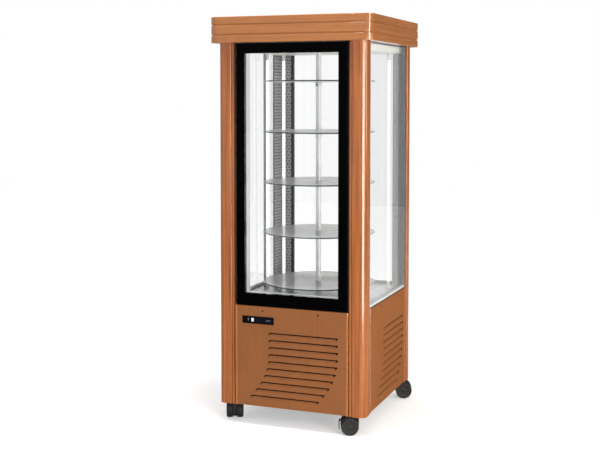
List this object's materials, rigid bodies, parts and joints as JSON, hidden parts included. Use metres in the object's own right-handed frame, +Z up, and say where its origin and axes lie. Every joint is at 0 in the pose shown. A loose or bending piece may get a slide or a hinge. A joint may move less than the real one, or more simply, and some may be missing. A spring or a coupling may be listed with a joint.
{
  "type": "cake display case",
  "caption": "Free-standing refrigerated cake display case with glass walls, a hinged glass door, a turning carousel of round glass shelves, a louvred base and swivel castors.",
  "frame": {"origin": "on the floor under the centre of the case", "axes": "+Z up, the door faces -Y, +X to the right as seen from the front"},
  "size_m": [0.771, 0.798, 1.85],
  "materials": {
    "copper_paint": "satin copper-coloured coating with a fine brushed grain",
    "grey_sheet": "plain grey sheet",
    "zinc": "zinc plated, matt",
    "stainless": "brushed",
    "white_plastic": "matt",
    "glass": "clear polished glass with a green edge",
    "lamp": "opal tube, lit",
    "grey_profile": "satin anodised",
    "black_enamel": "gloss black",
    "rubber": "matt gasket",
    "black_plastic": "smooth black",
    "display_window": "smoked window",
    "machine_paint": "black machine paint",
    "coil_fins": "mill finish fins",
    "castor_plastic": "dark grey moulded plastic"
  },
  "bodies": {
    "cabinet": {"base_pan": "zinc", "post_front_left": "copper_paint", "post_front_right": "copper_paint", "post_rear_left": "copper_paint", "post_rear_right": "copper_paint", "front_panel": "copper_paint", "left_panel": "copper_paint", "right_panel": "copper_paint", "rear_panel": "copper_paint", "crown_fascia": "copper_paint", "crown_lid": "grey_sheet", "top_frame": "zinc", "insulated_floor": "white_plastic", "ceiling_panel": "white_plastic", "floor_tray": "stainless", "left_glass": "glass", "right_glass": "glass", "rear_glass": "glass", "duct_rear_left": "stainless", "duct_rear_right": "stainless", "lamp_rear_left": "lamp", "lamp_rear_right": "lamp", "lamp_left_wall": "lamp", "door_jamb": "grey_profile", "hinge_bracket_lower": "zinc", "hinge_bracket_upper": "zinc", "display_bezel": "black_plastic", "display_window": "display_window", "compressor": "machine_paint", "condenser": "coil_fins", "evaporator": "coil_fins", "condenser_motor": "machine_paint", "evaporator_motor": "machine_paint", "drive_gearmotor": "machine_paint", "power_inlet": "black_plastic"},
    "door": {"door_outer_pane": "glass", "door_inner_pane": "glass", "door_frame": "black_enamel", "door_gasket": "rubber"},
    "carousel": {"carousel_shaft": "stainless", "shelf_1": "glass", "shelf_2": "glass", "shelf_3": "glass", "shelf_4": "glass", "shelf_5": "glass"},
    "rocker": {"rocker_switch": "white_plastic"},
    "condenser_blades": {"condenser_fan": "black_plastic"},
    "evaporator_blades": {"evaporator_fan": "black_plastic"},
    "castor_front_left": {"castor_hood_front_left": "castor_plastic"},
    "castor_front_right": {"castor_hood_front_right": "castor_plastic"},
    "castor_rear_left": {"castor_hood_rear_left": "castor_plastic"},
    "castor_rear_right": {"castor_hood_rear_right": "castor_plastic"},
    "wheels_front_left": {"castor_wheels_front_left": "castor_plastic"},
    "wheels_front_right": {"castor_wheels_front_right": "castor_plastic"},
    "wheels_rear_left": {"castor_wheels_rear_left": "castor_plastic"},
    "wheels_rear_right": {"castor_wheels_rear_right": "castor_plastic"},
    "pedal_front_left": {"brake_pedal_front_left": "castor_plastic"},
    "pedal_front_right": {"brake_pedal_front_right": "castor_plastic"}
  },
  "joints": [
    {"name": "door_hinge", "type": "hinge", "parent": "cabinet", "child": "door", "pos_m": [0.255, -0.349, 1.14], "axis": [0, 0, 1], "range_deg": [0, 105]},
    {"name": "carousel_spin", "type": "hinge", "parent": "cabinet", "child": "carousel", "pos_m": [0, 0, 1.1], "axis": [0, 0, 1], "continuous": true},
    {"name": "rocker_tilt", "type": "hinge", "parent": "cabinet", "child": "rocker", "pos_m": [-0.184, -0.3648, 0.4825], "axis": [1, 0, 0], "range_deg": [-14, 0]},
    {"name": "condenser_fan_spin", "type": "hinge", "parent": "cabinet", "child": "condenser_blades", "pos_m": [0.06, -0.213, 0.2253], "axis": [0, 1, 0], "continuous": true},
    {"name": "evaporator_fan_spin", "type": "hinge", "parent": "cabinet", "child": "evaporator_blades", "pos_m": [0, 0.188, 0.4397], "axis": [0, 1, 0], "continuous": true},
    {"name": "swivel_front_left", "type": "hinge", "parent": "cabinet", "child": "castor_front_left", "pos_m": [-0.2985, -0.312, 0.08], "axis": [0, 0, 1], "continuous": true},
    {"name": "swivel_front_right", "type": "hinge", "parent": "cabinet", "child": "castor_front_right", "pos_m": [0.2985, -0.312, 0.08], "axis": [0, 0, 1], "continuous": true},
    {"name": "swivel_rear_left", "type": "hinge", "parent": "cabinet", "child": "castor_rear_left", "pos_m": [-0.2985, 0.312, 0.08], "axis": [0, 0, 1], "continuous": true},
    {"name": "swivel_rear_right", "type": "hinge", "parent": "cabinet", "child": "castor_rear_right", "pos_m": [0.2985, 0.312, 0.08], "axis": [0, 0, 1], "continuous": true},
    {"name": "roll_front_left", "type": "hinge", "parent": "castor_front_left", "child": "wheels_front_left", "pos_m": [-0.31068, -0.28026, 0.03951], "axis": [0.9336, 0.3584, 0], "continuous": true},
    {"name": "roll_front_right", "type": "hinge", "parent": "castor_front_right", "child": "wheels_front_right", "pos_m": [0.26676, -0.32419, 0.03951], "axis": [-0.3584, 0.9336, 0], "continuous": true},
    {"name": "roll_rear_left", "type": "hinge", "parent": "castor_rear_left", "child": "wheels_rear_left", "pos_m": [-0.26676, 0.32419, 0.03951], "axis": [0.3584, -0.9336, 0], "continuous": true},
    {"name": "roll_rear_right", "type": "hinge", "parent": "castor_rear_right", "child": "wheels_rear_right", "pos_m": [0.33024, 0.32419, 0.03951], "axis": [0.3584, -0.9336, 0], "continuous": true},
    {"name": "brake_front_left", "type": "hinge", "parent": "castor_front_left", "child": "pedal_front_left", "pos_m": [-0.32699, -0.23778, 0.062], "axis": [0.9336, 0.3584, 0], "range_deg": [0, 20]},
    {"name": "brake_front_right", "type": "hinge", "parent": "castor_front_right", "child": "pedal_front_right", "pos_m": [0.22428, -0.34049, 0.062], "axis": [-0.3584, 0.9336, 0], "range_deg": [0, 20]}
  ]
}
